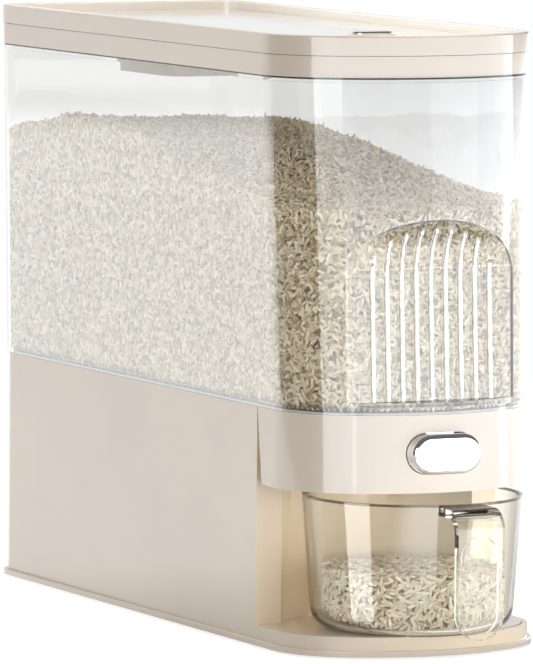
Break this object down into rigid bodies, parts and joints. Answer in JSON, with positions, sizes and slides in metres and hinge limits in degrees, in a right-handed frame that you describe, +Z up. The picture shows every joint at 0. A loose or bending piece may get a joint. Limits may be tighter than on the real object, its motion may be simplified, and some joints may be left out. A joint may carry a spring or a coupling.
{
  "type": "rice dispenser",
  "caption": "Upright clear grain bin on a moulded base, with a hinged latching lid, a push button gate and a lift-out measuring cup with a hooked handle in a niche below.",
  "frame": {"origin": "on the ground under the middle of the whole dispenser's bounding box, cup handle and lid hinge included", "axes": "+Z up, +Y to the rear (the hinge), -Y to the front (the cup's handle and the button), +X to the right seen from the front"},
  "size_m": [0.1688, 0.5102, 0.36],
  "materials": {
    "cream": "satin moulded cream plastic",
    "cream_dark": "matt moulded plastic",
    "white": "polished white plastic",
    "clear": "clear styrene",
    "clear_cup": "clear styrene",
    "chrome": "bright plated",
    "steel": "drawn wire and turned steel",
    "seal": "soft silicone",
    "foot_rubber": "matt rubber",
    "acetal": "slick white plastic"
  },
  "bodies": {
    "base": {"base_housing": "cream", "base_plate": "cream_dark", "rubber_feet": "foot_rubber", "base_screws": "steel", "dispenser_head": "cream", "funnel": "cream_dark", "gate_guide": "acetal", "guide_screws": "steel", "button_spring": "steel", "hopper": "clear", "hopper_seal": "seal", "collar": "cream", "hinge_pins": "steel"},
    "lid": {"lid_frame": "cream", "lid_panel": "white", "lid_seal": "seal", "latch_channel": "acetal", "latch_spring": "steel", "drier_box": "white", "drier_grille": "cream_dark"},
    "release_button": {"latch_button": "chrome"},
    "release_bolt": {"latch_bolt": "acetal"},
    "gate": {"push_button": "chrome", "gate_slide": "acetal"},
    "cup": {"measuring_cup": "clear_cup"}
  },
  "joints": [
    {"name": "lid_hinge", "type": "hinge", "parent": "base", "child": "lid", "pos_m": [0, 0.25175, 0.3482], "axis": [-1, 0, 0], "range_deg": [0, 100]},
    {"name": "latch_press", "type": "slide", "parent": "lid", "child": "release_button", "axis": [0, 0, -1], "range_m": [0, 0.003], "stiffness_N_per_m": 600},
    {"name": "latch_slide", "type": "slide", "parent": "lid", "child": "release_bolt", "axis": [0, 1, 0], "range_m": [0, 0.003], "deforming": ["latch_spring"]},
    {"name": "button_press", "type": "slide", "parent": "base", "child": "gate", "axis": [0, 1, 0], "range_m": [0, 0.008], "stiffness_N_per_m": 400, "deforming": ["button_spring"]},
    {"name": "cup_slide", "type": "slide", "parent": "base", "child": "cup", "axis": [0, -1, 0], "range_m": [0, 0.2]}
  ],
  "couplings": [
    {"joint": "latch_slide", "follows": "latch_press", "ratio": 1}
  ]
}
